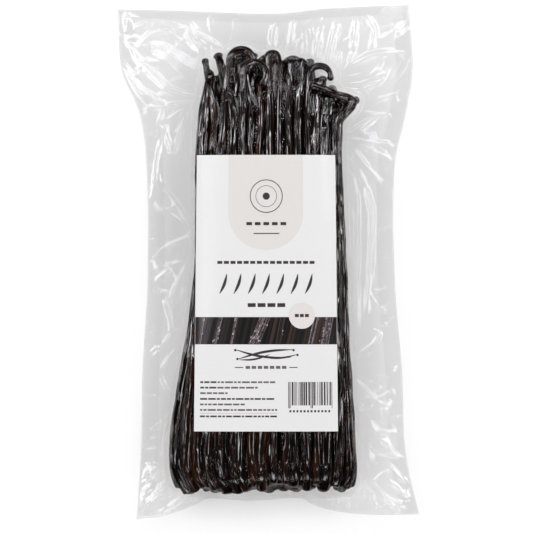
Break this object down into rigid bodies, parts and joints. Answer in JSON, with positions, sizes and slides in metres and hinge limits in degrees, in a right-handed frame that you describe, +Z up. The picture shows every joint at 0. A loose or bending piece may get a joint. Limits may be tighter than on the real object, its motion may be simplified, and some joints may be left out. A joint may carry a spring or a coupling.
{
  "type": "vacuum pack of vanilla pods",
  "caption": "Flat clear vacuum-sealed bag holding a bundle of long dark vanilla pods, with a paper label on its front.",
  "frame": {"origin": "under the middle of the bag, on the surface that it lies on", "axes": "+Y along the pods towards their hooked stem ends and the bag's top edge, +X across the bag to the right of its label, +Z up out of the label"},
  "size_m": [0.127, 0.217, 0.0252],
  "materials": {
    "pods": "gloss",
    "film": "gloss",
    "label_paper": "satin",
    "label_print": "satin"
  },
  "bodies": {
    "root": {"sealed_bag": "pods", "label": "label_paper"}
  },
  "joints": []
}
